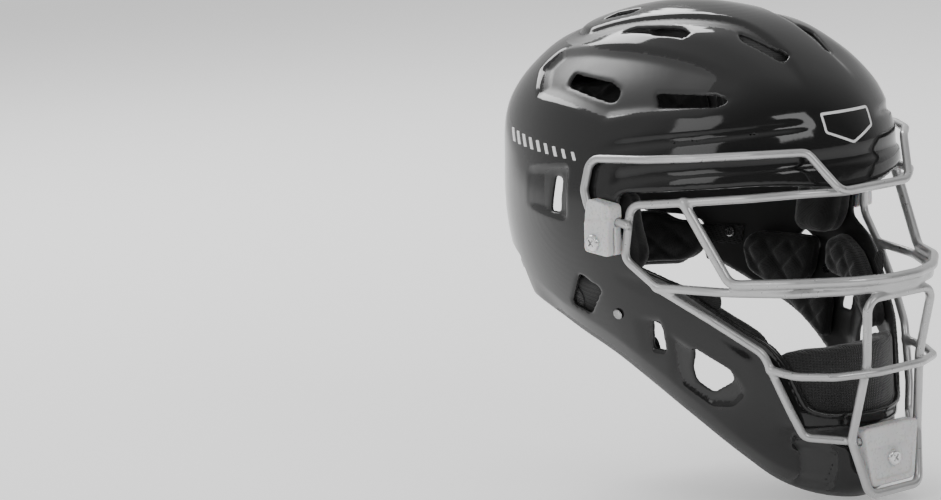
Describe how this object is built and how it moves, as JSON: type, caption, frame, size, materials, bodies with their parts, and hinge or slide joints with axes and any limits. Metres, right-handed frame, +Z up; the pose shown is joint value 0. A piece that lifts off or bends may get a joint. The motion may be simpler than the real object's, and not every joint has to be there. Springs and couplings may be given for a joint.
{
  "type": "catcher's helmet mask",
  "caption": "One-piece black helmet shell with a welded wire face cage, clear side and chin clips, comfort pads and a back plate on elastic straps.",
  "frame": {"origin": "centre of the head inside the helmet, level with the screws of the side clips", "axes": "+X the wearer's left, -Y the way the wearer faces, +Z up"},
  "size_m": [0.2424, 0.3177, 0.3047],
  "materials": {
    "shell": "gloss black, clear coated",
    "back_plate": "satin black",
    "cage": "silver grey enamel",
    "clip": "frosted clear plastic",
    "fastener": "nickel plated",
    "pad": "quilted black lining cloth over foam",
    "mesh_pad": "black spacer mesh over foam",
    "strap": "woven black elastic",
    "hook": "black hook-and-loop"
  },
  "bodies": {
    "helmet": {"shell": "shell", "side_strap_left": "strap", "top_strap_left": "strap", "side_clip_left": "clip", "temple_pad_left": "pad", "cheek_pad_left": "pad", "ear_pad_left": "pad", "jaw_pad_left": "pad", "upper_side_pad_left": "pad", "side_strap_right": "strap", "top_strap_right": "strap", "side_clip_right": "clip", "temple_pad_right": "pad", "cheek_pad_right": "pad", "ear_pad_right": "pad", "jaw_pad_right": "pad", "upper_side_pad_right": "pad", "cage_brow_bar": "cage", "cage_frame_bar": "cage", "cage_eye_bar": "cage", "cage_cheek_bar": "cage", "cage_chin_bar": "cage", "cage_mouth_bar": "cage", "chin_clip": "clip", "clip_screws": "fastener", "clip_nuts": "fastener", "jaw_rivets": "fastener", "shell_strap_studs": "fastener", "forehead_pad": "pad", "rear_pad": "pad", "crown_pad": "pad", "chin_pad": "mesh_pad", "hook_discs": "hook"},
    "rear_plate": {"back_plate": "back_plate", "back_plate_pad": "pad", "plate_strap_rivets": "fastener"}
  },
  "joints": [
    {"name": "back_plate_slide", "type": "slide", "parent": "helmet", "child": "rear_plate", "axis": [0, 1, 0], "range_m": [0, 0.02], "stiffness_N_per_m": 900, "springref_m": -0.002, "deforming": ["side_strap_left", "side_strap_right", "top_strap_left", "top_strap_right"]}
  ]
}
